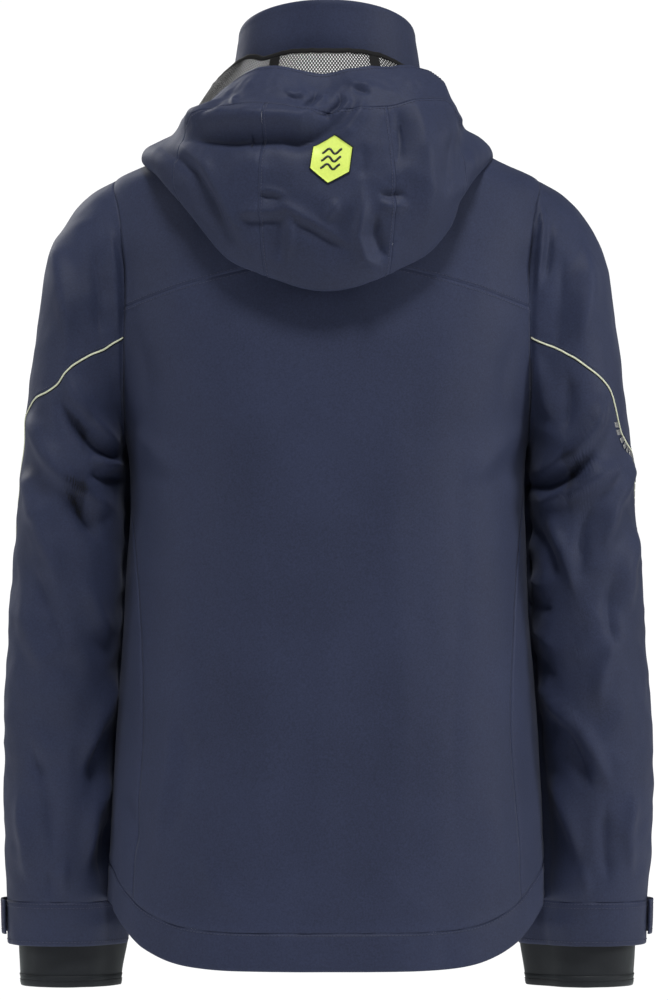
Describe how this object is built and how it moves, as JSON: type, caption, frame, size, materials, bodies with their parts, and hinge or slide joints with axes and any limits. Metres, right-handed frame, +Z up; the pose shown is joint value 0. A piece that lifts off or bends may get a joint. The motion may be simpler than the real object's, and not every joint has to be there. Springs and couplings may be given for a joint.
{
  "type": "foul weather jacket",
  "caption": "Hooded foul weather sailing jacket, as worn: high collar, dropped hood, full front zip, zipped pockets, piped sleeves and adjustable cuffs.",
  "frame": {"origin": "centre of the neck, level with the collar's seam at the sides", "axes": "+Z up, +Y towards the wearer's back, +X towards the wearer's left"},
  "size_m": [0.6226, 0.33, 0.929],
  "materials": {
    "shell": "matte coated woven nylon, navy",
    "shell_trim": "matte coated woven nylon, navy, turned and stitched",
    "shell_dark": "matte woven nylon, dark navy",
    "lining": "soft black tricot",
    "mesh_lining": "black net over a pale membrane",
    "black_tape": "black woven tape",
    "lime_badge": "matte raised rubber print with a dark edge",
    "lime_piping": "pale lime cord",
    "lime_rubber": "matte moulded rubber",
    "reflective_tape": "grey glass-bead reflective blocks",
    "inner_cuff": "smooth charcoal neoprene",
    "zip_teeth": "moulded black acetal",
    "slider_metal": "satin black zinc"
  },
  "bodies": {
    "jacket": {"back_panel": "shell", "back_yoke": "shell", "side_panel_left": "shell", "side_panel_right": "shell", "front_panel_left": "shell", "front_panel_right": "shell", "hem_band": "shell_trim", "collar_shell": "shell", "collar_lining": "lining", "hang_loop": "black_tape", "body_lining": "lining", "sleeve_upper_left": "shell", "sleeve_upper_right": "shell", "sleeve_lower_left": "shell", "sleeve_lower_right": "shell", "cuff_band_left": "shell_trim", "cuff_band_right": "shell_trim", "inner_cuff_left": "inner_cuff", "inner_cuff_right": "inner_cuff", "cuff_hook_patch_left": "black_tape", "cuff_hook_patch_right": "black_tape", "sleeve_piping_left": "lime_piping", "sleeve_piping_right": "lime_piping", "reflective_tape_left": "reflective_tape", "reflective_tape_right": "reflective_tape", "hood_wing_left": "shell", "hood_wing_right": "shell", "zip_tapes": "black_tape", "zip_chain_left": "zip_teeth", "zip_chain_right": "zip_teeth", "zip_top_stops": "slider_metal", "zip_box": "zip_teeth", "inner_storm_flap": "shell_dark", "chin_guard": "black_tape", "hand_pocket_zip_left": "black_tape", "hand_pocket_zip_right": "black_tape", "chest_pocket_zip": "black_tape", "hand_pocket_bag_left": "lining", "hand_pocket_bag_right": "lining", "chest_pocket_bag": "lining"},
    "hood": {"hood_centre_panel": "shell", "hood_side_left": "shell", "hood_side_right": "shell", "hood_brim": "shell_trim", "hood_mesh_lining": "mesh_lining", "hood_seam_tapes": "black_tape", "hood_neck_tape": "black_tape", "hood_badge": "lime_badge"},
    "zip_slider": {"zip_slider": "slider_metal"},
    "zip_puller": {"zip_puller": "lime_rubber"},
    "hand_pocket_slider_left": {"hand_pocket_slider_left": "slider_metal"},
    "hand_pocket_slider_right": {"hand_pocket_slider_right": "slider_metal"},
    "chest_pocket_slider": {"chest_pocket_slider": "slider_metal"},
    "hand_pocket_puller_left": {"hand_pocket_puller_left": "lime_rubber"},
    "hand_pocket_puller_right": {"hand_pocket_puller_right": "lime_rubber"},
    "chest_pocket_puller": {"chest_pocket_puller": "lime_rubber"},
    "cuff_tab_left": {"cuff_tab_left": "shell_trim"},
    "cuff_tab_right": {"cuff_tab_right": "shell_trim"}
  },
  "joints": [
    {"name": "hood_lift", "type": "hinge", "parent": "jacket", "child": "hood", "pos_m": [0, 0.086, 0.058], "axis": [1, 0, 0], "range_deg": [0, 100]},
    {"name": "front_zip_slide", "type": "slide", "parent": "jacket", "child": "zip_slider", "axis": [0, -0.061, -0.9981], "range_m": [0, 0.765]},
    {"name": "front_puller_swing", "type": "hinge", "parent": "zip_slider", "child": "zip_puller", "pos_m": [0, -0.10007, 0.0341], "axis": [-1, 0, 0], "range_deg": [0, 160]},
    {"name": "hand_pocket_left_slide", "type": "slide", "parent": "jacket", "child": "hand_pocket_slider_left", "axis": [0.1439, -0.0097, -0.9895], "range_m": [0, 0.15]},
    {"name": "hand_pocket_left_puller_swing", "type": "hinge", "parent": "hand_pocket_slider_left", "child": "hand_pocket_puller_left", "pos_m": [0.10617, -0.11997, -0.47511], "axis": [-0.9192, -0.3718, -0.1301], "range_deg": [0, 150]},
    {"name": "hand_pocket_right_slide", "type": "slide", "parent": "jacket", "child": "hand_pocket_slider_right", "axis": [-0.1439, -0.0097, -0.9895], "range_m": [0, 0.15]},
    {"name": "hand_pocket_right_puller_swing", "type": "hinge", "parent": "hand_pocket_slider_right", "child": "hand_pocket_puller_right", "pos_m": [-0.10617, -0.11997, -0.47511], "axis": [-0.9192, 0.3718, 0.1301], "range_deg": [0, 150]},
    {"name": "chest_pocket_slide", "type": "slide", "parent": "jacket", "child": "chest_pocket_slider", "axis": [0, -0.0473, -0.9989], "range_m": [0, 0.113]},
    {"name": "chest_pocket_puller_swing", "type": "hinge", "parent": "chest_pocket_slider", "child": "chest_pocket_puller", "pos_m": [0.08881, -0.11045, -0.21022], "axis": [-0.9772, -0.212, 0.01], "range_deg": [0, 150]},
    {"name": "cuff_tab_left_open", "type": "hinge", "parent": "jacket", "child": "cuff_tab_left", "pos_m": [0.30592, -0.00953, -0.7613], "axis": [0, 0, 1], "range_deg": [0, 80]},
    {"name": "cuff_tab_right_open", "type": "hinge", "parent": "jacket", "child": "cuff_tab_right", "pos_m": [-0.30592, -0.00953, -0.7613], "axis": [0, 0, -1], "range_deg": [0, 80]}
  ]
}
